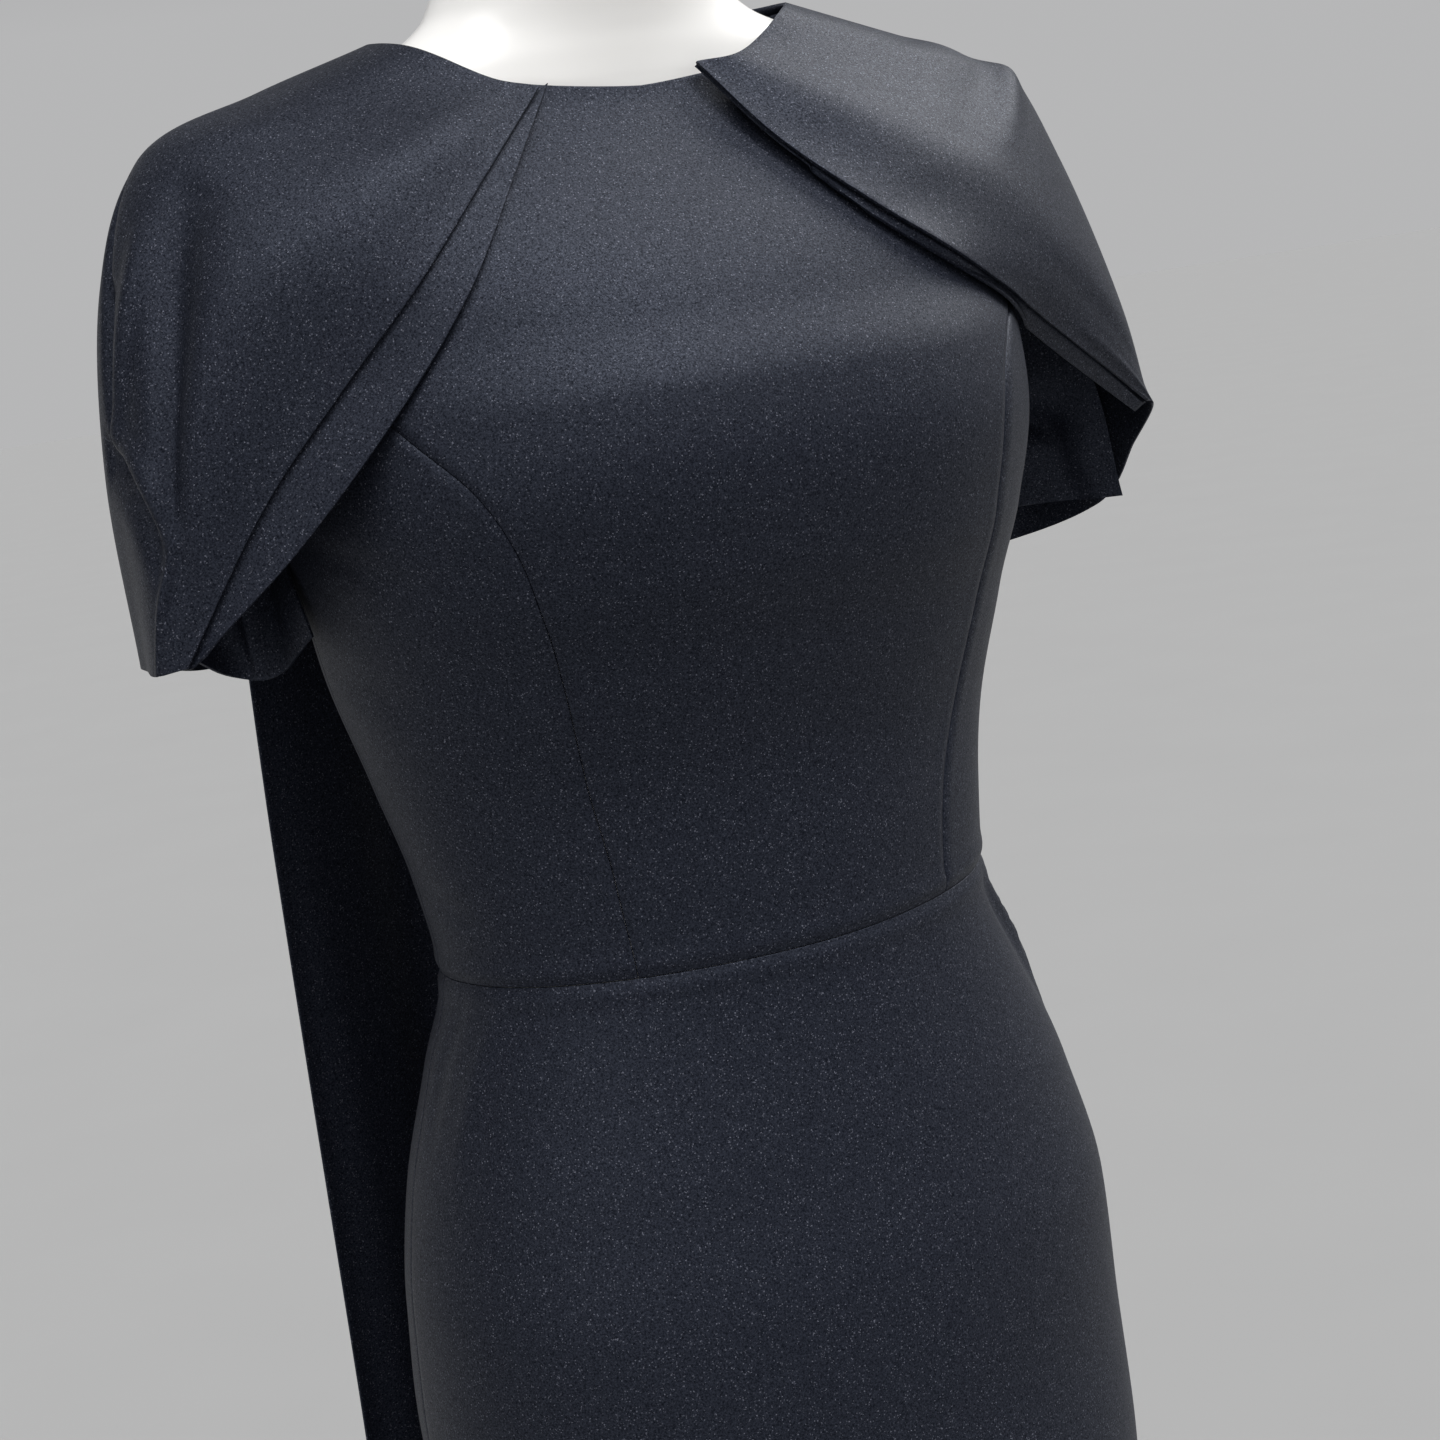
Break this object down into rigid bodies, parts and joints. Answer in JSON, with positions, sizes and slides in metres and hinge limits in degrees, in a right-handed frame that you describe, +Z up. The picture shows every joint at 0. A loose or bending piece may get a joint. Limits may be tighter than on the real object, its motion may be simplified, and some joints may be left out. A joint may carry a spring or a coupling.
{
  "type": "mermaid evening dress on a limbless dress form",
  "caption": "Dark floor-length mermaid evening dress with round neck, cape sleeves, flared flounce and long back cape, worn by a white limbless dress form on a stand.",
  "frame": {"origin": "centre of the stand's round base plate at its underside, on the floor, on the pole's axis", "axes": "+Z up; the dress faces -Y and the wearer's right is at -X"},
  "size_m": [0.7873, 0.807, 1.5],
  "materials": {
    "crepe": "satin-backed crepe with a soft sheen and a fine sparkle",
    "form_shell": "smooth white shell, satin",
    "pole_steel": "brushed",
    "base_enamel": "dark satin enamel"
  },
  "bodies": {
    "root": {"bodice_front": "crepe", "bodice_side_front_left": "crepe", "bodice_side_front_right": "crepe", "bodice_back_left": "crepe", "bodice_back_right": "crepe", "skirt_front": "crepe", "skirt_back_left": "crepe", "skirt_back_right": "crepe", "flounce_front": "crepe", "flounce_back_left": "crepe", "flounce_back_right": "crepe", "sleeve_left": "crepe", "sleeve_right": "crepe", "sleeve_band_left": "crepe", "sleeve_band_right": "crepe", "sleeve_flap_left": "crepe", "sleeve_flap_right": "crepe", "cape_left": "crepe", "cape_right": "crepe", "form_body": "form_shell", "form_pole": "pole_steel", "form_base": "base_enamel"}
  },
  "joints": []
}
